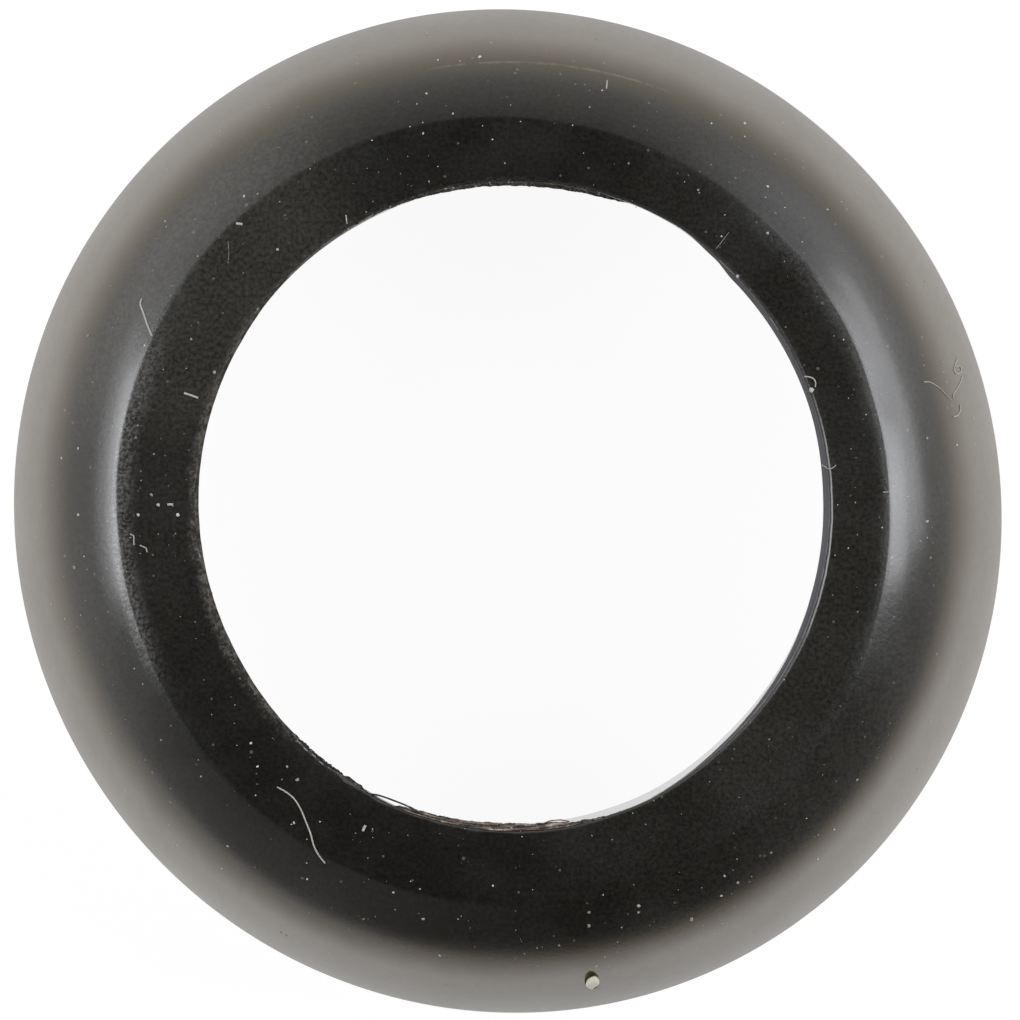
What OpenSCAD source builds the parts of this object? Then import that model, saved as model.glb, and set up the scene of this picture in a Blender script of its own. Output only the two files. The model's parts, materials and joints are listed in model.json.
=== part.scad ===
// Rubber grommet that lines a round hole in a sheet-metal panel.
// It is one moulded ring: a domed head, a groove that the panel's edge sits in, and a smaller flange
// with a lead-in that is pushed through the hole. A cable or tube passes through the bore.
// The origin is the centre of the bore at the bottom face, and +Z points out of the head.

/* [Bore] */
// Diameter of the bore
bore_d = 19.05; // [16:0.05:21]
// Radius of the bore's edge at the head's flat face
bore_top_r = 0.15; // [0.05:0.05:0.5]
// Radius of the bore's edge at the bottom face
bore_bottom_r = 0.5; // [0.2:0.05:1]

/* [Head] */
// Largest diameter of the head, at its rim
head_d = 30; // [29:0.1:32]
// Diameter of the flat face on top, out to the crease where the shoulder begins
face_d = 23.3; // [22:0.1:25]
// Thickness of the head, from the panel's side to the flat face
head_t = 5.3; // [4.6:0.1:7]
// Height of the upright rim below the shoulder, its lower edge included
rim_t = 1.8; // [1.4:0.1:2.2]
// Slope of the shoulder, in degrees, where it meets the rim in an edge
rim_slope = 68; // [64:1:76]
// Radius of the rim's lower edge
rim_edge_r = 0.45; // [0.1:0.05:0.45]

/* [Groove] */
// Diameter of the groove's floor, which is the size of the hole in the panel
groove_d = 25.4; // [23:0.1:26.4]
// Width of the groove, which is the thickest panel that it takes
groove_w = 2.4; // [1.6:0.1:4.8]
// Radius of the fillets at the groove's floor
groove_fillet_r = 0.3; // [0.1:0.05:0.5]

/* [Flange] */
// Largest diameter of the flange below the groove
flange_d = 28.6; // [27.6:0.1:30]
// Thickness of the flange
flange_t = 3.4; // [2.8:0.1:5]
// Radius of the flange's lead-in, which eases it through the hole
lead_in_r = 2.2; // [1:0.1:2.3]
// Radius of the flange's upper edge, at the groove
flange_edge_r = 0.4; // [0.1:0.05:0.45]

/* [Hidden] */
$fn = 180;

bore_r = bore_d / 2;
head_r = head_d / 2;
groove_r = groove_d / 2;
flange_r = flange_d / 2;

// Heights of the groove's two sides, the rim's upper end and the flat face
groove_z = flange_t;
head_z = groove_z + groove_w;
rim_z = head_z + rim_t;
face_z = head_z + head_t;

// The shoulder is one arc from the rim up to the flat face's crease. Its radius follows from
// its chord and from how steeply it leaves the rim.
shoulder_in = (head_d - face_d) / 2;
shoulder_up = face_z - rim_z;
chord_slope = atan2(shoulder_up, shoulder_in);
shoulder_r = norm([shoulder_in, shoulder_up]) / (2 * sin(rim_slope - chord_slope));

// What a rounded edge takes off a square corner, with the arc's centre at the origin
// and the corner towards +X and +Y
module edge_waste(r) {
    difference() {
        square(2 * r);
        circle(r = r);
    }
}

// What a fillet adds in a corner whose two sides run along +X and +Y
module fillet(r) {
    difference() {
        square(r);
        translate([r, r]) circle(r = r);
    }
}

// Head: a thick disc whose top corner is rolled off by the shoulder
module head_section() {
    difference() {
        translate([bore_r, head_z]) square([head_r - bore_r, head_t]);
        translate([head_r - shoulder_r * sin(rim_slope), rim_z - shoulder_r * cos(rim_slope)])
            edge_waste(shoulder_r);
        translate([head_r - rim_edge_r, head_z + rim_edge_r])
            mirror([0, 1]) edge_waste(rim_edge_r);
        translate([bore_r + bore_top_r, face_z - bore_top_r])
            mirror([1, 0]) edge_waste(bore_top_r);
    }
}

// Waist: the wall between the bore and the groove, filleted into the head and the flange
module waist_section() {
    translate([bore_r, groove_z]) square([groove_r - bore_r, groove_w]);
    translate([groove_r, groove_z]) fillet(groove_fillet_r);
    translate([groove_r, head_z]) mirror([0, 1]) fillet(groove_fillet_r);
}

// Flange: a disc with a round lead-in below and a small edge at the groove
module flange_section() {
    difference() {
        translate([bore_r, 0]) square([flange_r - bore_r, flange_t]);
        translate([flange_r - lead_in_r, lead_in_r])
            mirror([0, 1]) edge_waste(lead_in_r);
        translate([flange_r - flange_edge_r, flange_t - flange_edge_r])
            edge_waste(flange_edge_r);
        translate([bore_r + bore_bottom_r, bore_bottom_r])
            rotate(180) edge_waste(bore_bottom_r);
    }
}

module grommet() {
    color([0.13, 0.13, 0.12])
    rotate_extrude()
    union() {
        head_section();
        waist_section();
        flange_section();
    }
}

grommet();
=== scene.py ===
# A black rubber grommet that lies head up on a white table and is seen from above.
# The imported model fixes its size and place. This script models its moulded skin, the torn flash
# round its bore, and the lint and dust that lie on it.
import json
import math
import random

import bpy
from mathutils import Matrix, Vector, noise
from mathutils.bvhtree import BVHTree


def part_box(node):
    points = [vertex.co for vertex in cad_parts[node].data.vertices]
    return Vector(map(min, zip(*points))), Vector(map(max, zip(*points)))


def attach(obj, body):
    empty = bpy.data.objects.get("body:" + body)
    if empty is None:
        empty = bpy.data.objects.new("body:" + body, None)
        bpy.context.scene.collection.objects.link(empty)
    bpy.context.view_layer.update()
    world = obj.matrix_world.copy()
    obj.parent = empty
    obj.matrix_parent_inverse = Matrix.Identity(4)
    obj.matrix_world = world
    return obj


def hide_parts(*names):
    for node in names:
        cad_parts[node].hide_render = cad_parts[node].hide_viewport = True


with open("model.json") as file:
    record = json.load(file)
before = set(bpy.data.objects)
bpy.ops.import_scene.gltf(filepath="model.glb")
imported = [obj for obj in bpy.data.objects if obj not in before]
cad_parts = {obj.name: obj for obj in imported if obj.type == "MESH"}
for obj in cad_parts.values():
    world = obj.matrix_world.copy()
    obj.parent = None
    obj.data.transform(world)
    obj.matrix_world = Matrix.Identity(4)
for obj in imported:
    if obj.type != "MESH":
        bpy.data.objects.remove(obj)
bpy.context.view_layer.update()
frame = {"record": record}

# Camera. It stands almost straight over the bore, a little towards the upper left of the picture,
# so that the bore's wall shows at the right and below. +Y is up in the picture. The picture's width
# is measured at the place that the camera aims at.
MM = 0.001
PICTURE_W = 30.78 * MM
eye = Vector((-5.0, 4.0, 810.0)) * MM
aim = Vector((-0.08, -0.16, 6.4)) * MM

bpy.ops.object.select_all(action="DESELECT")
bpy.ops.object.camera_add(location=eye)
camera = bpy.context.object
camera.name = "camera_above"
view = aim - eye
camera.rotation_euler = (math.atan2(view.y, -view.z), -math.atan2(view.x, -view.z), 0)
camera.data.sensor_width = 36.0
camera.data.lens = camera.data.sensor_width * view.length / PICTURE_W
camera.data.clip_start = 100 * MM
camera.data.clip_end = 10.0
bpy.context.scene.camera = camera

# Moulded ring. It is one piece of black rubber, pressed in a mould: a domed head, a groove for the
# panel's edge and a flange with a round lead-in. The mould's plates meet in a crease round the flat
# face. The ring lies a little out of round, and its bore sits off the head's centre.
bore_r = next(m for m in frame["record"]["mounts"] if m["name"] == "bore")["dims"]["r_mm"] * MM
_, solid_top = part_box("grommet")
head_r = solid_top.x
face_z = solid_top.z
face_r = 11.71 * MM
groove_r = 12.7 * MM
groove_w = 2.4 * MM
groove_fillet_r = 0.3 * MM
flange_r = 14.3 * MM
flange_t = 3.4 * MM
lead_in_r = 2.2 * MM
flange_edge_r = 0.4 * MM
rim_t = 1.8 * MM
rim_slope = math.radians(68)
rim_edge_r = 0.45 * MM
bore_top_r = 0.15 * MM
bore_bottom_r = 0.5 * MM
head_z = flange_t + groove_w
rim_z = head_z + rim_t

# The flat face rolls down towards the crease: its slope there, how wide the sloping edge is and how
# far in the roll begins
roll_slope = math.radians(8.1)
roll_flat = 0.18 * MM
roll_in = 0.72 * MM
ROLL_STEPS = 6
crease_z = face_z - math.tan(roll_slope) * (roll_flat + roll_in) / 2

# The shoulder is one arc from the rim to the crease, and a small round eases it into the face
crease_r = 0.7 * MM
shoulder_in = head_r - face_r
chord_slope = math.atan2(crease_z - rim_z, shoulder_in)
shoulder_r = math.hypot(shoulder_in, crease_z - rim_z) / (2 * math.sin(rim_slope - chord_slope))
crease_slope = 2 * chord_slope - rim_slope
crease_cut = crease_r * math.tan((crease_slope - roll_slope) / 2)

# Where the outline, the crease and the bore have their centres, and how the ring is squeezed
head_centre = Vector((-0.155, -0.185, 0)) * MM
crease_centre = Vector((-0.285, -0.185, 0)) * MM
bore_centre = Vector((0, 0, 0))
STEPS_ROUND = 400
OUT_OF_ROUND = 0.0113
LONG_AXIS = math.radians(22.6)

# How far the crease wanders outwards, as degrees round and mm
CREASE_WANDER = [
    (0, 0.0), (15, 0.04), (28, 0.11), (36, 0.11), (47, 0.01), (60, 0.0), (120, 0.0), (148, 0.09),
    (172, 0.085), (188, 0.03), (200, 0.0), (340, -0.02),
]

# How far the bore's upper edge and its foot wander outwards, as degrees round and mm
LIP_WANDER = [
    (0, 0.02), (20, 0.06), (45, 0.12), (60, 0.20), (75, 0.16), (92, 0.12), (120, 0.04),
    (150, -0.02), (180, 0.0), (208, 0.0), (225, 0.04), (238, 0.08), (247, 0.16), (262, 0.16),
    (275, 0.14), (290, 0.08), (315, -0.05), (340, 0.0),
]
FOOT_WANDER = [
    (0, 0.03), (20, 0.10), (45, 0.11), (50, 0.22), (56, 0.30), (64, 0.30), (75, 0.20), (95, 0.08),
    (120, 0.03), (150, 0.04), (180, 0.08), (208, 0.12), (225, 0.17), (238, 0.23), (250, 0.30),
    (262, 0.22), (275, 0.11), (290, 0.08), (315, -0.03), (340, 0.02),
]

# How deep the bore's lip is worn and chipped, as degrees round and mm
LIP_WEAR = [
    (0, 0.0), (66, 0.0), (80, 0.03), (120, 0.02), (145, 0.025), (180, 0.05), (235, 0.06), (250, 0.03),
    (290, 0.0),
]


def arc(centre_r, centre_z, radius, start, end, steps):
    # Points of the section along an arc, from one angle in degrees to another
    turns = [math.radians(start + (end - start) * i / steps) for i in range(steps + 1)]
    return [(centre_r + radius * math.cos(t), centre_z + radius * math.sin(t)) for t in turns]


def dome(centre_r, centre_z, radius, start, end, steps):
    # Points of the section along an arc, from one slope in radians to another
    slopes = [start + (end - start) * i / steps for i in range(steps + 1)]
    return [(centre_r + radius * math.sin(s), centre_z + radius * math.cos(s)) for s in slopes]


def line(start, end, steps):
    # Points between two ends, without the ends themselves
    (r0, z0), (r1, z1) = start, end
    return [(r0 + (r1 - r0) * i / steps, z0 + (z1 - z0) * i / steps) for i in range(1, steps)]


def eased(share):
    # A share from 0 to 1 that starts and ends gently
    share = min(1, max(0, share))
    return share * share * (3 - 2 * share)


def around(rows, degrees):
    # What rows of degrees and values give at one place round the bore
    degrees %= 360
    closed = rows + [(360 + rows[0][0], rows[0][1])]
    for (low, first), (high, second) in zip(closed, closed[1:]):
        if low <= degrees <= high:
            return first + (second - first) * eased((degrees - low) / (high - low))
    return rows[0][1]


def out_of_round():
    # Squeezes what is selected in edit mode as the whole ring is squeezed
    bpy.ops.transform.rotate(value=LONG_AXIS, orient_axis="Z", center_override=bore_centre)
    bpy.ops.transform.resize(
        value=(1 - OUT_OF_ROUND, 1 + OUT_OF_ROUND, 1), center_override=bore_centre
    )
    bpy.ops.transform.rotate(value=-LONG_AXIS, orient_axis="Z", center_override=bore_centre)


outer = line((bore_r + bore_bottom_r, 0), (flange_r - lead_in_r, 0), 4)
outer += arc(flange_r - lead_in_r, lead_in_r, lead_in_r, -90, 0, 12)
outer += arc(flange_r - flange_edge_r, flange_t - flange_edge_r, flange_edge_r, 0, 90, 8)
outer += arc(groove_r + groove_fillet_r, flange_t + groove_fillet_r, groove_fillet_r, 270, 180, 6)
outer += arc(groove_r + groove_fillet_r, head_z - groove_fillet_r, groove_fillet_r, 180, 90, 6)
outer += arc(head_r - rim_edge_r, head_z + rim_edge_r, rim_edge_r, -90, 0, 8)
outer += line((head_r, head_z + rim_edge_r), (head_r, rim_z), 3)
shoulder = dome(
    head_r - shoulder_r * math.sin(rim_slope),
    rim_z - shoulder_r * math.cos(rim_slope),
    shoulder_r,
    rim_slope,
    crease_slope + crease_cut / shoulder_r,
    30,
)
crease = dome(
    face_r + crease_cut * math.cos(crease_slope) - crease_r * math.sin(crease_slope),
    crease_z - crease_cut * math.sin(crease_slope) - crease_r * math.cos(crease_slope),
    crease_r,
    crease_slope,
    roll_slope,
    6,
)
flat = [(face_r - roll_flat, crease_z + math.tan(roll_slope) * roll_flat)]
for i in range(1, ROLL_STEPS + 1):
    left = (roll_in - roll_flat) * (1 - i / ROLL_STEPS)
    drop = math.tan(roll_slope) * left ** 2 / (2 * (roll_in - roll_flat))
    flat.append((face_r - roll_in + left, face_z - drop))
flat += line((face_r - roll_in, face_z), (bore_r + bore_top_r, face_z), 5)
bore = arc(bore_r + bore_top_r, face_z - bore_top_r, bore_top_r, 90, 180, 8)
bore += line((bore_r, face_z - bore_top_r), (bore_r, bore_bottom_r), 6)
bore += arc(bore_r + bore_bottom_r, bore_bottom_r, bore_bottom_r, 180, 270, 8)
section = [(r, z, head_centre) for r, z in outer]
for r, z in shoulder + crease[1:]:
    section.append((r, z, head_centre.lerp(crease_centre, min(1, (head_r - r) / shoulder_in))))
for r, z in flat:
    section.append((r, z, crease_centre.lerp(bore_centre, (face_r - r) / (face_r - bore_r))))
section += [(r, z, bore_centre) for r, z in bore]

# The section is carried round the axis: a circle of its first point is extruded to each next one
here_r, here_z, here_centre = section[0]
bpy.ops.object.select_all(action="DESELECT")
bpy.ops.mesh.primitive_circle_add(
    vertices=STEPS_ROUND, radius=here_r, location=here_centre + Vector((0, 0, here_z))
)
ring = bpy.context.object
ring.name = "grommet_skin"
bpy.ops.object.transform_apply(location=True, rotation=True, scale=True)
bpy.ops.object.mode_set(mode="EDIT")
for r, z, centre in section[1:] + section[:1]:
    move = centre - here_centre + Vector((0, 0, z - here_z))
    bpy.ops.mesh.extrude_region_move(TRANSFORM_OT_translate={"value": move})
    bpy.ops.transform.resize(
        value=(r / here_r, r / here_r, 1), center_override=centre + Vector((0, 0, z))
    )
    here_r, here_z, here_centre = r, z, centre
bpy.ops.mesh.select_all(action="SELECT")
bpy.ops.mesh.remove_doubles(threshold=0.001 * MM)
bpy.ops.mesh.normals_make_consistent(inside=False)
bpy.ops.object.mode_set(mode="OBJECT")

# The crease wanders a little, and the shoulder and the face beside it follow
shoulder_fade = 3.0 * MM
face_fade = 0.9 * MM
for vertex in ring.data.vertices:
    out = vertex.co - crease_centre
    radius = math.hypot(out.x, out.y)
    fade = shoulder_fade if radius > face_r else face_fade
    follow = 1 - abs(radius - face_r) / fade
    if follow <= 0 or vertex.co.z < rim_z:
        continue
    outwards = around(CREASE_WANDER, math.degrees(math.atan2(out.y, out.x))) * MM
    vertex.co.x += out.x / radius * outwards * follow
    vertex.co.y += out.y / radius * outwards * follow

# The bore's wall wanders in and out, and the faces above and below it follow for about 1 mm. Its
# edge is nicked all round, and chipped where it is worn.
wander_fade = 0.9 * MM
nick_size = 0.012 * MM
NICK_SCALE = 2500
CHIP_SCALE = 7300
lip_h = 0.3 * MM
for vertex in ring.data.vertices:
    radius = math.hypot(vertex.co.x, vertex.co.y)
    follow = 1 - eased((radius - bore_r - bore_top_r) / wander_fade)
    if follow == 0:
        continue
    degrees = math.degrees(math.atan2(vertex.co.y, vertex.co.x))
    lip = around(LIP_WANDER, degrees) * MM
    lip += nick_size * noise.noise(vertex.co * NICK_SCALE)
    foot = around(FOOT_WANDER, degrees) * MM
    outwards = foot + (lip - foot) * vertex.co.z / face_z
    if vertex.co.z > face_z - lip_h:
        chip = around(LIP_WEAR, degrees) * MM * (0.5 + noise.noise(vertex.co * CHIP_SCALE))
        vertex.co.z -= chip * (1 - eased((radius - bore_r - bore_top_r) / lip_h))
    vertex.co.x *= 1 + outwards * follow / radius
    vertex.co.y *= 1 + outwards * follow / radius
bpy.ops.object.mode_set(mode="EDIT")
out_of_round()
bpy.ops.object.mode_set(mode="OBJECT")
skin = BVHTree.FromObject(ring, bpy.context.evaluated_depsgraph_get())


def on_skin(x, y, juts_out=False):
    # Where the camera's line of sight through a place, in mm right of and above the bore's centre,
    # meets the ring, and which way the skin faces there. What juts out over the bore stays level
    # with the face there.
    goal = Vector((x * MM, y * MM, aim.z))
    place, normal, _, _ = skin.ray_cast(eye, goal - eye)
    on_wall = place is not None and place.xy.length < bore_r + lip_h and place.z < face_z - lip_h
    if place is None or (juts_out and on_wall):
        sight = (goal - eye) / (eye.z - goal.z)
        return eye + sight * (eye.z - face_z), Vector((0, 0, 1))
    return place, normal


# A bubble in the rubber has left a pit low on the shoulder
PIT_SPOT = (2.39, -14.36)
PIT_RADII = Vector((0.22, 0.48, 0.17)) * MM
pit_place, pit_out = on_skin(*PIT_SPOT)
pit_along = Vector((-pit_out.y, pit_out.x, 0)).normalized()
pit_up = pit_out.cross(pit_along)
bpy.ops.object.select_all(action="DESELECT")
bpy.ops.mesh.primitive_uv_sphere_add(segments=32, ring_count=20, radius=1.0, location=(0, 0, 0))
pit = bpy.context.object
pit_size = Matrix.Diagonal(PIT_RADII).to_4x4()
pit_turn = Matrix((pit_along, pit_up, pit_out)).transposed().to_4x4()
pit.data.transform(Matrix.Translation(pit_place) @ pit_turn @ pit_size)
bpy.ops.object.select_all(action="DESELECT")
ring.select_set(True)
bpy.context.view_layer.objects.active = ring
cut = ring.modifiers.new("pit", "BOOLEAN")
cut.operation = "DIFFERENCE"
cut.solver = "EXACT"
cut.object = pit
bpy.ops.object.modifier_apply(modifier=cut.name)
bpy.data.objects.remove(pit)

# The rim's edge and the pit's edge are sharper than this, so they stay crisp
SMOOTH_UP_TO = math.radians(13)
bpy.ops.object.shade_smooth_by_angle(angle=SMOOTH_UP_TO)


def shader_node(tree, kind, inputs=None, **settings):
    # One node of a material, with its inputs set to numbers or joined to other nodes' outputs
    node = tree.nodes.new(kind)
    for name, value in settings.items():
        setattr(node, name, value)
    for name, value in (inputs or {}).items():
        if isinstance(value, bpy.types.NodeSocket):
            tree.links.new(value, node.inputs[name])
        else:
            node.inputs[name].default_value = value
    return node


def new_material(name):
    # A material with an empty tree
    material = bpy.data.materials.new(name)
    material.use_nodes = True
    material.node_tree.nodes.clear()
    return material, material.node_tree


def calc(tree, operation, *values):
    # A sum, product or other step of arithmetic
    inputs = dict(enumerate(values))
    return shader_node(tree, "ShaderNodeMath", inputs, operation=operation).outputs[0]


def vector_calc(tree, operation, *values):
    # The same for vectors, as a vector and as a number
    inputs = dict(enumerate(values))
    return shader_node(tree, "ShaderNodeVectorMath", inputs, operation=operation).outputs


def eased_to(tree, value, low, high, to_low=0.0, to_high=1.0):
    # One number's range turned into another, with gentle ends
    inputs = {"Value": value, "From Min": low, "From Max": high, "To Min": to_low, "To Max": to_high}
    node = shader_node(tree, "ShaderNodeMapRange", inputs, interpolation_type="SMOOTHSTEP")
    return node.outputs["Result"]


def blended(tree, share, first, second):
    # One colour going over into another
    node = shader_node(tree, "ShaderNodeMix", {0: share, 6: first, 7: second}, data_type="RGBA")
    return node.outputs[2]


def from_axis(tree, place):
    # How far a place is from the upright axis
    level = vector_calc(tree, "MULTIPLY", place, (1, 1, 0))[0]
    return vector_calc(tree, "LENGTH", level)[1]


def way_out(tree, place):
    # Which way a place lies from the upright axis
    level = vector_calc(tree, "MULTIPLY", place, (1, 1, 0))[0]
    return vector_calc(tree, "NORMALIZE", level)[0]


def on_side(tree, way, side, low, high, to_low=0.0, to_high=1.0):
    # How much a way points to one side, from the cosine of the angle between them
    cosine = vector_calc(tree, "DOT_PRODUCT", way, side)[1]
    return eased_to(tree, cosine, low, high, to_low, to_high)


def noisy(tree, place, scale, detail=2.0, rough=0.5):
    # A cloudy pattern from 0 to 1, about even at 0.5
    inputs = {"Vector": place, "Scale": scale, "Detail": detail, "Roughness": rough}
    return shader_node(tree, "ShaderNodeTexNoise", inputs).outputs["Fac"]


def specks(tree, place, scale, size, share):
    # Small round spots, one in some of the cells of a net
    net = shader_node(tree, "ShaderNodeTexVoronoi", {"Vector": place, "Scale": scale})
    chosen = shader_node(tree, "ShaderNodeSeparateColor", {0: net.outputs["Color"]}).outputs[0]
    spot = calc(tree, "LESS_THAN", net.outputs["Distance"], size)
    return calc(tree, "MULTIPLY", spot, calc(tree, "LESS_THAN", chosen, share))


rubber, tree = new_material("black_rubber")
spot = shader_node(tree, "ShaderNodeTexCoord").outputs["Object"]
height = shader_node(tree, "ShaderNodeSeparateXYZ", {"Vector": spot}).outputs["Z"]
from_middle = vector_calc(tree, "SUBTRACT", spot, crease_centre)[0]
distance = from_axis(tree, from_middle)
direction = way_out(tree, from_middle)
cloudy = noisy(tree, spot, 420.0, 5.0, 0.6)
fine = noisy(tree, spot, 3200.0, 4.0, 0.6)

# The flat face is deep black and finely mottled, a little lighter towards its upper left and lower
# right, and darkest at its top and lower left.
face_tone = calc(tree, "MULTIPLY_ADD", cloudy, 0.4, 0.13)
upper_left = on_side(tree, direction, (-0.788, 0.616, 0), 0.866, 0.97, 0.0, 0.67)
face_tone = calc(tree, "ADD", face_tone, upper_left)
lower_right = on_side(tree, direction, (0.906, -0.423, 0), 0.82, 0.97, 0.0, 0.22)
face_tone = calc(tree, "ADD", face_tone, lower_right)
lower_left = on_side(tree, direction, (-0.423, -0.906, 0), 0.64, 0.95, 0.0, 0.3)
face_tone = calc(tree, "SUBTRACT", face_tone, lower_left)
upper_side = on_side(tree, direction, (0, 1, 0), 0.88, 0.98, 0.0, 0.24)
face_tone = calc(tree, "SUBTRACT", face_tone, upper_side)
black = blended(tree, face_tone, (0.0080, 0.0073, 0.0056, 1), (0.0345, 0.0330, 0.0280, 1))
mottle = noisy(tree, spot, 8200.0, 3.0, 0.65)
mottle = eased_to(tree, mottle, 0.25, 0.75, 0.35, 1.65)
mottled = shader_node(tree, "ShaderNodeVectorMath", {0: black, 3: mottle}, operation="SCALE")
black = mottled.outputs[0]

# The low part of the shoulder is painted grey, a painted reflection of the white table, with an
# olive-brown fringe. In front it is painted lighter, as painted light where less light falls.
ragged = calc(tree, "MULTIPLY_ADD", cloudy, 0.30 * MM, height)
narrower_at_lower_left = on_side(tree, direction, (-0.574, -0.819, 0), 0.85, 0.97, 0.0, 0.08 * MM)
ragged = calc(tree, "ADD", ragged, narrower_at_lower_left)
sideways = vector_calc(tree, "DOT_PRODUCT", direction, (1, 0, 0))[1]
sideways = calc(tree, "MULTIPLY", sideways, sideways)
fringe = calc(tree, "MULTIPLY_ADD", sideways, 0.22 * MM, ragged)
fringe = eased_to(tree, fringe, 10.55 * MM, 9.9 * MM)
black = blended(tree, fringe, black, (0.062, 0.045, 0.019, 1))
# Painted light: the grey is lighter in front, where less light reaches the shoulder
towards_front = on_side(tree, direction, (0.25, -0.968, 0), 0.2, 0.85)
reflection_full = calc(tree, "MULTIPLY_ADD", towards_front, 0.27 * MM, 9.0 * MM)
painted_reflection = eased_to(tree, ragged, 10.05 * MM, reflection_full)
reflection_grey = blended(tree, fine, (0.178, 0.157, 0.126, 1), (0.222, 0.200, 0.163, 1))
front_reflection_grey = blended(tree, fine, (0.232, 0.210, 0.183, 1), (0.282, 0.257, 0.226, 1))
reflection_grey = blended(tree, towards_front, reflection_grey, front_reflection_grey)
# The grey band is a painted reflection of the white table
colour = blended(tree, painted_reflection, black, reflection_grey)

# A faint light line crosses the upper shoulder
from_head = from_axis(tree, vector_calc(tree, "SUBTRACT", spot, head_centre)[0])
light_line = calc(tree, "ABSOLUTE", calc(tree, "SUBTRACT", from_head, 13.5 * MM))
light_line = eased_to(tree, light_line, 0.045 * MM, 0.015 * MM, 0.0, 0.35)
light_line = calc(tree, "MULTIPLY", light_line, on_side(tree, direction, (0.105, 0.994, 0), 0.955, 0.985))
light_line = calc(tree, "MULTIPLY", light_line, eased_to(tree, fine, 0.35, 0.6))
colour = blended(tree, light_line, colour, (0.24, 0.23, 0.21, 1))

# The pit is olive inside
from_pit = vector_calc(tree, "SUBTRACT", spot, pit_place)[0]
pit_depth = vector_calc(tree, "DOT_PRODUCT", from_pit, pit_out)[1]
in_pit = calc(tree, "LESS_THAN", vector_calc(tree, "LENGTH", from_pit)[1], 0.5 * MM)
in_pit = calc(tree, "MULTIPLY", in_pit, calc(tree, "LESS_THAN", pit_depth, -0.035 * MM))
colour = blended(tree, in_pit, colour, (0.25, 0.21, 0.11, 1))

# A peppered pale strip inside the crease at the left, a fainter one at the upper right, and fine
# dust all over
strip_side = on_side(tree, direction, (-1, 0.02, 0), 0.86, 0.96)
faint_side = on_side(tree, direction, (0.85, 0.53, 0), 0.92, 0.985, 0.0, 0.25)
strip = calc(tree, "MAXIMUM", strip_side, faint_side)
strip = calc(tree, "MULTIPLY", strip, eased_to(tree, distance, 10.95 * MM, 11.60 * MM))
strip = calc(tree, "MULTIPLY", strip, eased_to(tree, distance, 11.84 * MM, 11.74 * MM))
pepper = eased_to(tree, noisy(tree, spot, 10500.0, 3.0, 0.65), 0.40, 0.64)
strip = calc(tree, "MULTIPLY", strip, pepper)
colour = blended(tree, strip, colour, (0.15, 0.145, 0.14, 1))

# The lip of the bore is worn grey-brown in spots, most of all at the left
lip_out = calc(tree, "MULTIPLY_ADD", fine, 0.5 * MM, from_axis(tree, spot))
lip = eased_to(tree, lip_out, 10.14 * MM, 9.80 * MM)
left_lip = on_side(tree, direction, (-1, 0.07, 0), 0.55, 0.93, 0.2, 1.0)
upper_lip = on_side(tree, direction, (-0.26, 0.966, 0), 0.78, 0.94, 0.0, 0.9)
lip = calc(tree, "MULTIPLY", lip, calc(tree, "MAXIMUM", left_lip, upper_lip))
lip_spots = eased_to(tree, noisy(tree, spot, 9500.0, 3.0, 0.6), 0.44, 0.68)
lip_spots = calc(tree, "MULTIPLY", lip, lip_spots)
colour = blended(tree, lip_spots, colour, (0.125, 0.107, 0.088, 1))
small_specks = specks(tree, spot, 2300.0, 0.09, 0.35)
larger_specks = specks(tree, spot, 1100.0, 0.055, 0.5)
dusty = calc(tree, "MULTIPLY", calc(tree, "ADD", small_specks, larger_specks), 0.35)
colour = blended(tree, dusty, colour, (0.30, 0.285, 0.255, 1))

# It is satin where it is black, duller under the painted reflection, and roughest on the worn lip
gloss = eased_to(tree, cloudy, 0.3, 0.7, 0.24, 0.34)
gloss = calc(tree, "MULTIPLY_ADD", painted_reflection, 0.16, gloss)
gloss = calc(tree, "MULTIPLY_ADD", lip, 0.2, gloss)
fine_grain = noisy(tree, spot, 8200.0, 3.0, 0.6)
fine_grain = calc(tree, "MULTIPLY", fine_grain, calc(tree, "MULTIPLY_ADD", lip, 3.0, 1.0))
grain_bump = shader_node(
    tree, "ShaderNodeBump", {"Height": fine_grain, "Strength": 0.7, "Distance": 0.01 * MM}
)
rubber_skin = shader_node(
    tree,
    "ShaderNodeBsdfPrincipled",
    {
        "Base Color": colour,
        "Roughness": gloss,
        "IOR": 1.52,
        "Coat Weight": 1.0,
        "Coat Roughness": 0.17,
        "Normal": grain_bump.outputs["Normal"],
    },
)
shader_node(tree, "ShaderNodeOutputMaterial", {"Surface": rubber_skin.outputs["BSDF"]})

# The bore's wall is duller, and dry and grey on the side that a tool has rubbed. Towards the front
# the rub runs out upwards, over rubber that is still bright. At the left the lip is worn brown.
bore_rubber, tree = new_material("bore_rubber")
spot = shader_node(tree, "ShaderNodeTexCoord").outputs["Object"]
parts = shader_node(tree, "ShaderNodeSeparateXYZ", {"Vector": spot}).outputs
turn = calc(tree, "ARCTAN2", parts["Y"], parts["X"])
rub_foot = calc(tree, "MULTIPLY_ADD", turn, -12.6 * MM, -3.3 * MM)
rubbed = calc(tree, "SUBTRACT", parts["Z"], rub_foot)
ragged = calc(tree, "MULTIPLY_ADD", noisy(tree, spot, 900.0, 5.0, 0.65), 4.0 * MM, -2.0 * MM)
rubbed = eased_to(tree, calc(tree, "ADD", rubbed, ragged), -0.8 * MM, 0.8 * MM)
rubbed = calc(tree, "MULTIPLY", rubbed, eased_to(tree, turn, 1.02, 0.92))
streaks = noisy(tree, vector_calc(tree, "MULTIPLY", spot, (0.2, 0.2, 1))[0], 520.0, 5.0, 0.7)
streaks = eased_to(tree, streaks, 0.34, 0.66)
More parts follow.
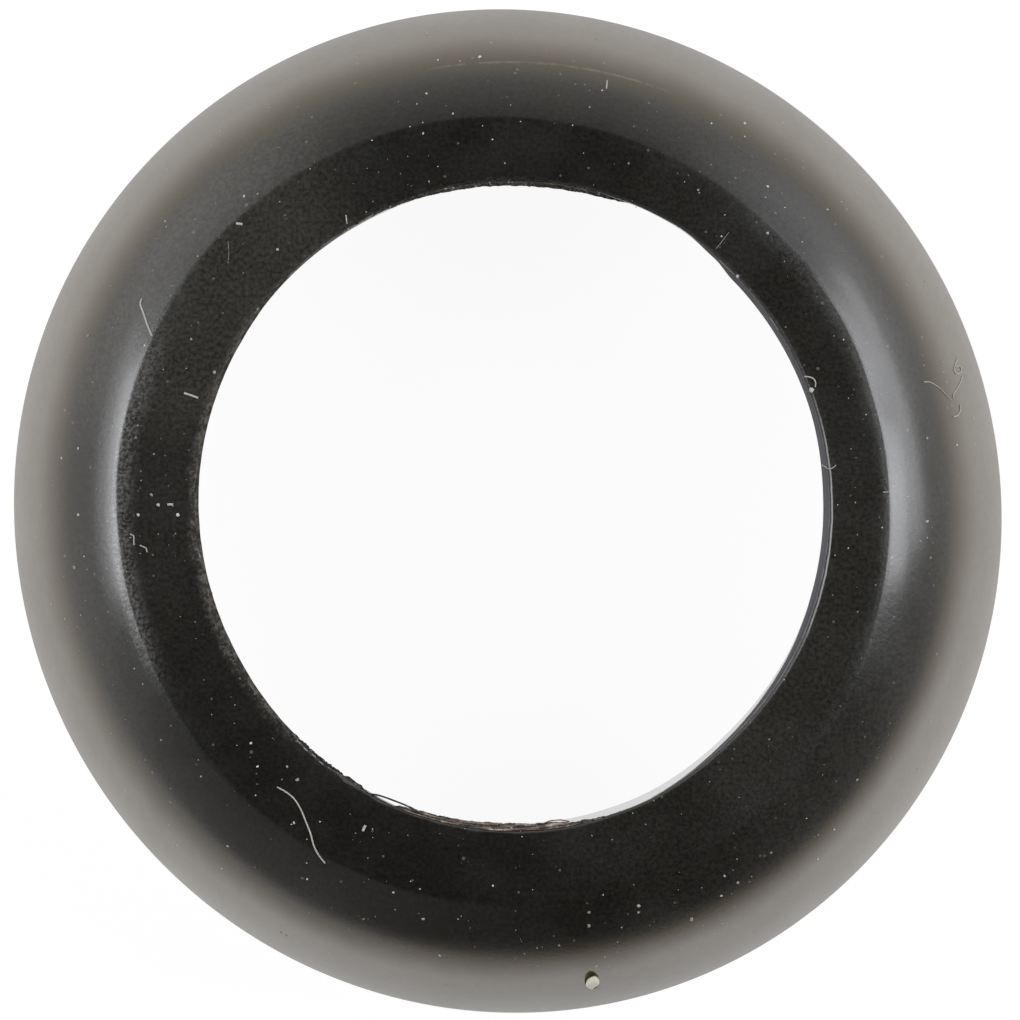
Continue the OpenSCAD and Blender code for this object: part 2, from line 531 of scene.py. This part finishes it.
streaks = calc(tree, "MULTIPLY", streaks, eased_to(tree, turn, 0.9, 0.6))
dull = blended(tree, streaks, (0.018, 0.018, 0.023, 1), (0.145, 0.142, 0.168, 1))
colour = blended(tree, rubbed, (0.016, 0.0155, 0.014, 1), dull)
direction = way_out(tree, spot)
dry = on_side(tree, direction, (-1, 0, 0), 0.2, 0.8)
worn = on_side(tree, direction, (-1, 0, 0), 0.55, 0.8)
worn = calc(tree, "MULTIPLY", worn, eased_to(tree, parts["Z"], 9.6 * MM, 10.9 * MM))
patches = eased_to(tree, noisy(tree, spot, 5200.0, 4.0, 0.65), 0.36, 0.64, 0.05, 1.0)
colour = blended(tree, calc(tree, "MULTIPLY", worn, patches), colour, (0.13, 0.115, 0.095, 1))
dry = calc(tree, "MAXIMUM", rubbed, dry)
gloss = eased_to(tree, dry, 0.0, 1.0, 0.12, 0.85)
bore_skin = shader_node(
    tree, "ShaderNodeBsdfPrincipled", {"Base Color": colour, "Roughness": gloss, "IOR": 1.5}
)
shader_node(tree, "ShaderNodeOutputMaterial", {"Surface": bore_skin.outputs["BSDF"]})

# The wall has this rubber, and at the left so has the worn round above it. The rest is satin black.
ring.data.materials.append(rubber)
ring.data.materials.append(bore_rubber)
wall_reach = bore_r + 0.5 * MM
WALL_UP_TO = 0.3
WORN_UP_TO = 0.97
for face in ring.data.polygons:
    radius = math.hypot(face.center.x, face.center.y)
    up_to = WORN_UP_TO if face.center.x < -0.7 * radius else WALL_UP_TO
    if radius < wall_reach and -WALL_UP_TO < face.normal.z < up_to:
        face.material_index = 1
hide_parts("grommet")
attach(ring, "root")

# Torn flash. Rubber crept between the mould's core and its top plate, and the thin skin that it left
# round the bore's edge was torn off by hand. What stayed is ragged, and tan where it has dried out.
FLASH_STEPS = 1200
FLASH_ROWS = 3
ROW_SHRINK = 0.99
flash_t = 0.03 * MM
flash_root = 0.06 * MM

# How far each of the skin's three layers stands out from the wall, as degrees round and mm. Below
# zero it stays inside the rubber.
UPPER_REACH = [
    (0, -0.03), (68, -0.03), (76, 0.03), (85, 0.06), (100, 0.05), (118, 0.0), (140, -0.03),
    (222, -0.03), (229, 0.0), (234, 0.03), (239, 0.02), (242, -0.03), (246, -0.03), (250, 0.04),
    (256, 0.06), (265, 0.09), (276, 0.08), (284, 0.0), (290, -0.03),
]
MIDDLE_REACH = [
    (0, -0.03), (66, -0.03), (76, 0.09), (85, 0.12), (97, 0.10), (115, 0.02), (130, -0.03),
    (224, -0.03), (231, 0.02), (236, 0.0), (240, 0.05), (242.5, -0.03), (248, -0.03), (252, 0.08),
    (258, 0.13), (268, 0.16), (277, 0.13), (283, 0.03), (288, -0.03),
]
LOWER_REACH = [
    (0, -0.03), (66, -0.03), (74, 0.10), (82, 0.14), (97, 0.12), (115, 0.02), (130, -0.03),
    (247, -0.03), (251, 0.12), (257, 0.16), (268, 0.21), (276, 0.19), (281, 0.08), (285, 0.02),
    (289, -0.03),
]

# How much its torn edge jumps in and out, as degrees round and mm
RAGGED = [(0, 0.02), (110, 0.02), (222, 0.03), (230, 0.05), (246, 0.06), (252, 0.03), (300, 0.03)]


def torn_skin(name, height, reaches, seed):
    # A thin skin that stands out from the bore's wall, torn along its free edge. It starts as rings
    # of points, each a little smaller than the last, which are then laid out from the wall inwards.
    bpy.ops.object.select_all(action="DESELECT")
    bpy.ops.mesh.primitive_circle_add(vertices=FLASH_STEPS, radius=bore_r, location=(0, 0, 0))
    fin = bpy.context.object
    fin.name = name
    bpy.ops.object.mode_set(mode="EDIT")
    for _ in range(FLASH_ROWS):
        bpy.ops.mesh.extrude_region_move(TRANSFORM_OT_translate={"value": (0, 0, 0)})
        bpy.ops.transform.resize(
            value=(ROW_SHRINK, ROW_SHRINK, 1), center_override=bore_centre
        )
    bpy.ops.object.mode_set(mode="OBJECT")
    for vertex in fin.data.vertices:
        radius = math.hypot(vertex.co.x, vertex.co.y)
        row = round(math.log(radius / bore_r) / math.log(ROW_SHRINK))
        turn = math.atan2(vertex.co.y, vertex.co.x)
        degrees = math.degrees(turn)
        round_place = Vector((math.cos(turn), math.sin(turn), seed))
        torn = noise.noise(round_place * 45) + 0.7 * noise.noise(round_place * 130)
        torn += 0.5 * noise.noise(round_place * 330)
        reach = around(reaches, degrees)
        reach += around(RAGGED, degrees) * torn
        wall = bore_r + around(LIP_WANDER, degrees) * MM
        radius = wall + flash_root - (flash_root + reach * MM) * row / FLASH_ROWS
        curl = 0.10 * noise.noise(round_place * 60 + Vector((0, 0, 7)))
        curl += 0.06 * noise.noise(round_place * 190 + Vector((0, 0, row * 3)))
        vertex.co.x = radius * math.cos(turn)
        vertex.co.y = radius * math.sin(turn)
        vertex.co.z = height + curl * MM * row / FLASH_ROWS
    bpy.ops.object.mode_set(mode="EDIT")
    bpy.ops.mesh.select_all(action="SELECT")
    out_of_round()
    bpy.ops.object.mode_set(mode="OBJECT")
    skin_t = fin.modifiers.new("thickness", "SOLIDIFY")
    skin_t.thickness = flash_t
    skin_t.offset = 0
    bpy.ops.object.modifier_apply(modifier=skin_t.name)
    bpy.ops.object.mode_set(mode="EDIT")
    bpy.ops.mesh.select_all(action="SELECT")
    bpy.ops.mesh.normals_make_consistent(inside=False)
    bpy.ops.object.mode_set(mode="OBJECT")
    bpy.ops.object.shade_smooth_by_angle(angle=math.radians(40))
    return fin


def strand(name, points, thickness):
    # A thin round thread through points in space, as a mesh with closed ends
    bpy.ops.object.select_all(action="DESELECT")
    bpy.ops.curve.primitive_nurbs_path_add()
    thread = bpy.context.object
    thread.name = name
    bpy.ops.object.mode_set(mode="EDIT")
    bpy.ops.curve.select_all(action="SELECT")
    bpy.ops.curve.subdivide(number_cuts=2)
    bpy.ops.object.mode_set(mode="OBJECT")
    knots = thread.data.splines[0].points
    for i, knot in enumerate(knots):
        along = i / (len(knots) - 1) * (len(points) - 1)
        before = min(int(along), len(points) - 2)
        place = points[before].lerp(points[before + 1], along - before)
        knot.co = (*place, 1)
    thread.data.bevel_depth = thickness / 2
    thread.data.bevel_resolution = 1
    thread.data.use_fill_caps = True
    thread.data.resolution_u = 3
    bpy.ops.object.convert(target="MESH")
    return thread


def joined(name, pieces):
    # Several meshes made one piece
    bpy.ops.object.select_all(action="DESELECT")
    for piece in pieces:
        piece.select_set(True)
    bpy.context.view_layer.objects.active = pieces[0]
    bpy.ops.object.join()
    whole = bpy.context.object
    whole.name = name
    return whole


def along_wall(rows, height):
    # Points in the bore from rows of degrees and mm inside its wall
    points = []
    for degrees, inside in rows:
        turn = math.radians(degrees)
        radius = bore_r + (around(LIP_WANDER, degrees) - inside) * MM
        points.append(Vector((radius * math.cos(turn), radius * math.sin(turn), height)))
    return points


torn_pieces = [
    torn_skin("flash_upper", face_z - 0.13 * MM, UPPER_REACH, 11.3),
    torn_skin("flash_middle", face_z - 0.25 * MM, MIDDLE_REACH, 29.6),
    torn_skin("flash_lower", face_z - 0.38 * MM, LOWER_REACH, 47.9),
]

# Strands that have come loose from it, as their thickness in mm, and degrees round and mm inside
# the wall
STRANDS = [
    (0.055, [(243.4, -0.03), (244.6, 0.07), (246.5, 0.12), (249.0, 0.13), (251.0, 0.12),
             (253.0, 0.05)]),
    (0.04, [(229.5, 0.0), (230.6, 0.04), (232.2, 0.05), (233.6, 0.0)]),
    (0.035, [(275.0, 0.05), (276.5, 0.14), (278.5, 0.12), (280.0, 0.02)]),
]
for thickness, rows in STRANDS:
    points = along_wall(rows, face_z - 0.14 * MM)
    torn_pieces.append(strand("flash_strand", points, thickness * MM))
flash = joined("torn_flash", torn_pieces)

# Its patches are drawn out along the edge. It is tan in front and nearly black elsewhere, with pale
# nibs.
dried, tree = new_material("dried_flash")
spot = shader_node(tree, "ShaderNodeTexCoord").outputs["Object"]
tan_side = on_side(tree, way_out(tree, spot), (-0.087, -0.996, 0), 0.93, 0.98)
parts = shader_node(tree, "ShaderNodeSeparateXYZ", {"Vector": spot}).outputs
turn = calc(tree, "ARCTAN2", parts["Y"], parts["X"])
along = calc(tree, "MULTIPLY", turn, 15.0)
across = calc(tree, "MULTIPLY", from_axis(tree, spot), 13000.0)
layers = shader_node(tree, "ShaderNodeCombineXYZ", {"X": along, "Y": across, "Z": parts["Z"]})
patches = noisy(tree, layers.outputs[0], 1.0, 4.0, 0.6)
tan_patch = calc(tree, "MULTIPLY", eased_to(tree, patches, 0.42, 0.60), tan_side)
brown_patch = calc(tree, "MULTIPLY", eased_to(tree, patches, 0.50, 0.66), 0.35)
tan_patch = calc(tree, "MAXIMUM", tan_patch, brown_patch)
colour = blended(tree, tan_patch, (0.022, 0.020, 0.017, 1), (0.27, 0.185, 0.135, 1))
pale_edges = calc(tree, "MULTIPLY", eased_to(tree, patches, 0.58, 0.66), tan_side)
colour = blended(tree, pale_edges, colour, (0.62, 0.58, 0.51, 1))
nibs = eased_to(tree, noisy(tree, spot, 5200.0, 2.0, 0.5), 0.64, 0.70)
colour = blended(tree, nibs, colour, (0.36, 0.33, 0.30, 1))
torn_bump = shader_node(
    tree, "ShaderNodeBump", {"Height": patches, "Strength": 0.6, "Distance": 0.03 * MM}
)
torn_skin_shader = shader_node(
    tree,
    "ShaderNodeBsdfPrincipled",
    {"Base Color": colour, "Roughness": 0.55, "IOR": 1.5, "Normal": torn_bump.outputs["Normal"]},
)
shader_node(tree, "ShaderNodeOutputMaterial", {"Surface": torn_skin_shader.outputs["BSDF"]})
flash.data.materials.append(dried)
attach(flash, "root")

# Lint. Fine pale fibres of cloth and paper have settled on the rubber and cling to it. Each one is
# listed: its thickness in mm, and its way in mm right of and above the bore's centre, as the
# camera sees it.
FIBRE_LIFT = 0.4
LINT = [
    (0.045, [(-7.11, -8.52), (-6.69, -8.73), (-6.42, -9.09), (-6.24, -9.57), (-6.08, -9.94),
             (-6.02, -10.30), (-5.84, -10.60), (-5.66, -10.81)]),
    (0.052, [(-11.18, 6.21), (-11.24, 6.06), (-11.12, 5.75), (-11.03, 5.45), (-10.88, 5.09)]),
    (0.070, [(-9.92, 3.37), (-9.70, 3.30), (-9.49, 3.22)]),
    (0.033, [(12.41, 3.70), (12.56, 3.71), (12.72, 3.63), (12.93, 3.48), (13.10, 3.27),
             (13.23, 3.16)]),
    (0.033, [(13.27, 3.20), (13.30, 3.36), (13.42, 3.52), (13.53, 3.74), (13.56, 3.88)]),
    (0.035, [(13.38, 4.31), (13.31, 4.14), (13.32, 3.98), (13.42, 3.93), (13.52, 3.99), (13.54, 4.12),
             (13.46, 4.20), (13.36, 4.16)]),
    (0.035, [(13.38, 4.31), (13.41, 4.37), (13.44, 4.43)]),
    (0.040, [(13.50, 3.01), (13.50, 2.83), (13.41, 2.68), (13.29, 2.65)]),
    (0.038, [(9.13, 3.55), (9.15, 3.69), (9.08, 3.81), (8.94, 3.86), (8.81, 3.87)]),
    (0.028, [(9.33, 1.20), (9.42, 1.16), (9.50, 1.10), (9.58, 1.08), (9.67, 1.11), (9.76, 1.20)]),
    (0.035, [(-5.03, 8.74), (-5.01, 8.55), (-4.97, 8.32)]),
    (0.040, [(2.85, 12.79), (2.84, 12.66), (2.83, 12.54)]),
    (0.035, [(-11.55, -0.88), (-11.43, -0.94), (-11.43, -1.22)]),
    (0.035, [(-11.25, -1.22), (-11.06, -1.31), (-11.03, -1.43)]),
    (0.030, [(11.18, 0.38), (11.33, 0.38)]),
    (0.012, [(7.67, 9.62), (6.90, 8.70), (6.14, 7.72)]),
    (0.008, [(-8.59, 7.96), (-8.56, 7.60), (-8.59, 7.29)]),
    (0.075, [(-8.34, 8.48), (-8.24, 8.47), (-8.15, 8.46)]),
    (0.075, [(-10.42, 0.0), (-10.33, 0.01), (-10.25, 0.0)]),
    (0.080, [(-4.44, -9.68), (-4.49, -9.77), (-4.52, -9.85)]),
]
fibres = []
for thickness, path in LINT:
    points = []
    for x, y in path:
        place, out = on_skin(x, y, juts_out=True)
        points.append(place + out * thickness * FIBRE_LIFT * MM)
    fibres.append(strand("fibre", points, thickness * MM))
lint = joined("lint", fibres)

pale_lint, tree = new_material("pale_lint")
spot = shader_node(tree, "ShaderNodeTexCoord").outputs["Object"]
shades = noisy(tree, spot, 900.0, 3.0, 0.6)
colour = blended(tree, shades, (0.36, 0.34, 0.30, 1), (0.68, 0.66, 0.61, 1))
lint_skin = shader_node(
    tree, "ShaderNodeBsdfPrincipled", {"Base Color": colour, "Roughness": 0.7, "IOR": 1.45}
)
shader_node(tree, "ShaderNodeOutputMaterial", {"Surface": lint_skin.outputs["BSDF"]})
lint.data.materials.append(pale_lint)
bpy.ops.object.shade_smooth_by_angle(angle=math.radians(70))
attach(lint, "root")

# Dust. Pale specks of grit and lint lie all over the rubber, and one crumb is caught in the pit. The
# plain ones are listed, as x, y and width in mm, and the faint ones fall at random.
GRAINS = [
    (-8.1, 9.3, 0.08), (-7.1, 7.7, 0.09), (-1.0, 13.5, 0.10), (-2.6, 14.2, 0.07), (-2.6, 12.4, 0.08),
    (-1.8, 11.8, 0.06), (-2.7, 11.2, 0.07), (2.7, 12.5, 0.06), (5.6, 9.5, 0.06), (6.0, 11.5, 0.07),
    (7.0, 11.5, 0.10), (7.0, 11.1, 0.07), (7.7, 9.6, 0.07), (7.7, 8.2, 0.08), (9.5, 8.9, 0.08),
    (6.3, 8.1, 0.06), (6.8, 6.9, 0.11), (3.5, 10.3, 0.06), (13.0, 4.0, 0.06), (13.9, 2.6, 0.05),
    (12.4, 4.2, 0.06), (12.5, 2.0, 0.10), (13.4, 1.8, 0.06), (12.5, -0.5, 0.09), (12.3, -1.1, 0.09),
    (12.6, -1.6, 0.08), (12.5, -1.0, 0.07), (-13.6, 1.4, 0.07), (-13.1, 1.7, 0.07),
    (-13.1, -0.3, 0.09), (-13.2, -1.9, 0.12), (-13.9, -3.0, 0.06), (-9.0, 4.0, 0.11),
    (-10.9, 0.3, 0.09), (-10.7, 0.0, 0.09), (-10.1, -0.3, 0.11), (-11.3, -0.3, 0.09),
    (-12.8, 5.1, 0.10), (-10.6, -7.1, 0.07), (-7.9, -7.2, 0.09), (-7.7, -7.9, 0.07),
    (-6.8, -7.9, 0.08), (-6.5, -8.3, 0.11), (-9.4, -8.2, 0.07), (-6.6, -9.6, 0.07),
    (-8.6, -10.3, 0.07), (-6.2, -11.3, 0.07), (-7.0, -12.9, 0.06), (-3.6, -11.7, 0.07),
    (-2.8, -11.6, 0.06), (-0.6, -11.5, 0.07), (-4.5, -12.5, 0.07), (-2.7, -12.5, 0.09),
    (-2.2, -13.6, 0.08), (2.3, -12.3, 0.10), (2.3, -12.7, 0.12), (3.8, -12.1, 0.12),
    (3.8, -12.3, 0.08), (1.4, -13.3, 0.07), (10.4, -8.3, 0.08), (9.7, -9.8, 0.07), (9.2, -10.7, 0.08),
    (7.8, -10.5, 0.07), (6.4, -11.2, 0.07), (6.8, -11.4, 0.09), (6.3, -11.8, 0.07),
    (5.4, -12.5, 0.13), (7.3, -12.9, 0.05), (2.53, -13.92, 0.07), (9.02, 3.46, 0.16),
    (-11.1, 4.8, 0.06), (-9.7, 5.0, 0.08), (-7.7, 5.9, 0.07), (-9.5, 7.5, 0.06),
]
GRAIN_LIFT = 0.15
random_dust = random.Random(20)
grain_shapes = []
for seed in (3, 4, 5):
    bpy.ops.object.select_all(action="DESELECT")
    bpy.ops.mesh.primitive_ico_sphere_add(subdivisions=1, radius=0.5, location=(0, 0, 0))
    bpy.ops.object.mode_set(mode="EDIT")
    bpy.ops.transform.vertex_random(offset=0.22, seed=seed)
    bpy.ops.object.mode_set(mode="OBJECT")
    grain_shapes.append(bpy.context.object)


def grain(x, y, width, long=1.0):
    # One grain on the skin, turned at random and a little flattened
    place, out = on_skin(x, y)
    turn = out.to_track_quat("Z", "Y").to_matrix().to_4x4()
    spin = Matrix.Rotation(random_dust.uniform(0, math.tau), 4, "Z")
    size = Matrix.Diagonal((width * MM * long, width * MM, width * MM * 0.6)).to_4x4()
    shape = random_dust.choice(grain_shapes)
    speck = shape.copy()
    speck.data = shape.data.copy()
    bpy.context.scene.collection.objects.link(speck)
    lift = Matrix.Translation(place + out * width * GRAIN_LIFT * MM)
    speck.data.transform(lift @ turn @ spin @ size)
    return speck


grains = [grain(x, y, width, random_dust.uniform(1.0, 1.5)) for x, y, width in GRAINS]

# The faint ones lie between two circles whose centre is a little off the bore's, all in mm. Most of
# them are near the smallest width.
FAINT_GRAINS = 420
DUST_FROM = 9.75
DUST_TO = 14.7
DUST_CENTRE = -0.1
SMALLEST = 0.022
WIDTH_SPREAD = 0.04
for _ in range(FAINT_GRAINS):
    away = math.sqrt(random_dust.uniform(DUST_FROM ** 2, DUST_TO ** 2))
    turn = random_dust.uniform(0, math.tau)
    width = SMALLEST + WIDTH_SPREAD * random_dust.random() ** 3
    x = away * math.cos(turn) + DUST_CENTRE
    y = away * math.sin(turn) + DUST_CENTRE
    grains.append(grain(x, y, width))
for shape in grain_shapes:
    bpy.data.objects.remove(shape)

# The crumb fills the lower end of the pit and leans in it
CRUMB_RADII = Vector((0.205, 0.29, 0.12)) * MM
CRUMB_LEAN = math.radians(-24)
bpy.ops.object.select_all(action="DESELECT")
bpy.ops.mesh.primitive_ico_sphere_add(subdivisions=3, radius=1.0, location=(0, 0, 0))
crumb = bpy.context.object
crumb_size = Matrix.Diagonal(CRUMB_RADII).to_4x4()
crumb_lean = Matrix.Rotation(CRUMB_LEAN, 4, "Z")
crumb_place = pit_place - pit_up * 0.145 * MM + pit_along * 0.01 * MM - pit_out * 0.03 * MM
crumb.data.transform(Matrix.Translation(crumb_place) @ pit_turn @ crumb_lean @ crumb_size)

# It is a little lumpy
for vertex in crumb.data.vertices:
    vertex.co += pit_out * 0.03 * MM * noise.noise(vertex.co * 9000)
bpy.ops.object.shade_smooth()
grains.append(crumb)
dust = joined("dust", grains)

pale_dust, tree = new_material("pale_dust")
spot = shader_node(tree, "ShaderNodeTexCoord").outputs["Object"]
shades = noisy(tree, spot, 700.0, 2.0, 0.6)
shades = eased_to(tree, shades, 0.35, 0.65)
colour = blended(tree, shades, (0.30, 0.27, 0.22, 1), (0.72, 0.70, 0.66, 1))

# The crumb is cream
from_crumb = vector_calc(tree, "LENGTH", vector_calc(tree, "SUBTRACT", spot, crumb_place)[0])[1]
cream = calc(tree, "LESS_THAN", from_crumb, 0.42 * MM)
colour = blended(tree, cream, colour, (0.86, 0.83, 0.70, 1))
dust_skin = shader_node(
    tree, "ShaderNodeBsdfPrincipled", {"Base Color": colour, "Roughness": 0.8, "IOR": 1.45}
)
shader_node(tree, "ShaderNodeOutputMaterial", {"Surface": dust_skin.outputs["BSDF"]})
dust.data.materials.append(pale_dust)
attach(dust, "root")

# Table. A plain white sheet that the grommet lies on. It keeps the grommet's soft shadow, and it
# shows white to the camera and in reflections.
bpy.ops.object.select_all(action="DESELECT")
bpy.ops.mesh.primitive_plane_add(size=6.0, location=(0, 0, -0.02 * MM))
table = bpy.context.object
table.name = "table_top"
white, tree = new_material("white_table")
rays = shader_node(tree, "ShaderNodeLightPath").outputs
seen = calc(tree, "ADD", rays["Is Camera Ray"], rays["Is Glossy Ray"])
seen = calc(tree, "MINIMUM", calc(tree, "ADD", seen, rays["Is Transmission Ray"]), 1.0)
lit = shader_node(tree, "ShaderNodeBsdfDiffuse", {"Color": (0.8, 0.8, 0.79, 1)})
lit_a_little = shader_node(tree, "ShaderNodeBsdfDiffuse", {"Color": (0.14, 0.14, 0.14, 1)})
glow = shader_node(tree, "ShaderNodeEmission", {"Color": (1, 1, 1, 1), "Strength": 0.93})
shown = shader_node(tree, "ShaderNodeAddShader", {0: lit_a_little.outputs[0], 1: glow.outputs[0]})
sheet = shader_node(tree, "ShaderNodeMixShader", {0: seen, 1: lit.outputs[0], 2: shown.outputs[0]})
shader_node(tree, "ShaderNodeOutputMaterial", {"Surface": sheet.outputs[0]})
table.data.materials.append(white)


# Light. Two tall soft boxes stand left and right of the table, each narrower towards its top, and
# the right one is dimmer at its far end. The room is dim overhead and in front, and brighter
# behind, most of all low down.
def soft_box(name, azimuth, from_top, width, length, radiance):
    # An area lamp that faces the grommet, at an angle in degrees from straight overhead
    away = 0.3
    a = math.radians(azimuth)
    t = math.radians(from_top)
    place = Vector((math.sin(t) * math.cos(a), math.sin(t) * math.sin(a), math.cos(t))) * away
    bpy.ops.object.select_all(action="DESELECT")
    bpy.ops.object.light_add(type="AREA", location=place)
    lamp = bpy.context.object
    lamp.name = name
    lamp.rotation_mode = "QUATERNION"
    lamp.rotation_quaternion = place.to_track_quat("Z", "Y")
    lamp.data.shape = "RECTANGLE"
    lamp.data.size = length
    lamp.data.size_y = width
    lamp.data.color = (0.955, 0.97, 1.0)
    lamp.data.energy = radiance * math.pi * length * width
    lamp.visible_camera = False


soft_box("soft_box_right_top", 2.5, 35, 0.08, 0.070, 5.75)
soft_box("soft_box_right", 1.5, 50, 0.08, 0.092, 5.75)
soft_box("soft_box_right_end_top", 23, 35, 0.08, 0.058, 3.3)
soft_box("soft_box_right_end", 23, 50, 0.08, 0.070, 3.3)
soft_box("soft_box_right_low", 15, 62, 0.045, 0.185, 2.7)
soft_box("soft_box_left_top", 177, 34.5, 0.08, 0.112, 5.2)
soft_box("soft_box_left", 177, 49.5, 0.08, 0.151, 5.2)
soft_box("soft_box_left_low", 174, 60.5, 0.04, 0.20, 1.1)

world = bpy.data.worlds.new("studio_room")
bpy.context.scene.world = world
world.use_nodes = True
tree = world.node_tree
tree.nodes.clear()
way = shader_node(tree, "ShaderNodeTexCoord").outputs["Generated"]
parts = shader_node(tree, "ShaderNodeSeparateXYZ", {"Vector": way}).outputs

# The room's light fades with height and towards the front, and it is white at the horizon
level = calc(tree, "SUBTRACT", 1.0, calc(tree, "POWER", parts["Z"], 2.0))
level = calc(tree, "MINIMUM", calc(tree, "POWER", level, 5.0), 0.8)
behind = shader_node(
    tree,
    "ShaderNodeMapRange",
    {
        "Value": calc(tree, "MULTIPLY_ADD", parts["X"], -0.2, parts["Y"]),
        "From Min": -0.75,
        "From Max": -0.05,
        "To Min": 0.05,
        "To Max": 1.02,
    },
)
room = calc(tree, "MULTIPLY_ADD", level, behind.outputs["Result"], 0.025)
horizon = eased_to(tree, parts["Z"], 0.18, 0.02)
room = calc(tree, "MAXIMUM", room, horizon)

# Light spills on the walls: cool beside the two soft boxes, warm in front and half way up behind
spill_right = on_side(tree, way, (0.714, 0.500, 0.490), 0.90, 0.995, 0.0, 0.8)
spill_left = on_side(tree, way, (-0.725, 0.488, 0.485), 0.89, 0.99, 0.0, 0.5)
spill_front = on_side(tree, way, (-0.434, -0.695, 0.574), 0.84, 0.98, 0.0, 0.15)
room = calc(tree, "ADD", room, spill_front)
spill_back = on_side(tree, way, (-0.375, 0.927, 0), 0.40, 0.62, 0.0, 0.15)
spill_back = calc(tree, "MULTIPLY", spill_back, eased_to(tree, parts["Z"], 0.30, 0.50))
spill_back = calc(tree, "MULTIPLY", spill_back, eased_to(tree, parts["Z"], 0.85, 0.70))
room = calc(tree, "ADD", room, spill_back)
spills = calc(tree, "ADD", spill_right, spill_left)
rays = shader_node(tree, "ShaderNodeLightPath").outputs
warm_white = (1, 0.98, 0.935, 1)
cool_white = (0.94, 0.945, 1, 1)
room_light = shader_node(tree, "ShaderNodeBackground", {"Color": warm_white, "Strength": room})
spill_light = shader_node(tree, "ShaderNodeBackground", {"Color": cool_white, "Strength": spills})
room_light = shader_node(
    tree, "ShaderNodeAddShader", {0: room_light.outputs[0], 1: spill_light.outputs[0]}
)
backdrop = shader_node(tree, "ShaderNodeBackground", {"Color": (1, 1, 1, 1), "Strength": 1.0})
whole = shader_node(
    tree,
    "ShaderNodeMixShader",
    {0: rays["Is Camera Ray"], 1: room_light.outputs[0], 2: backdrop.outputs[0]},
)
shader_node(tree, "ShaderNodeOutputWorld", {"Surface": whole.outputs[0]})
bpy.context.scene.view_settings.view_transform = "Standard"
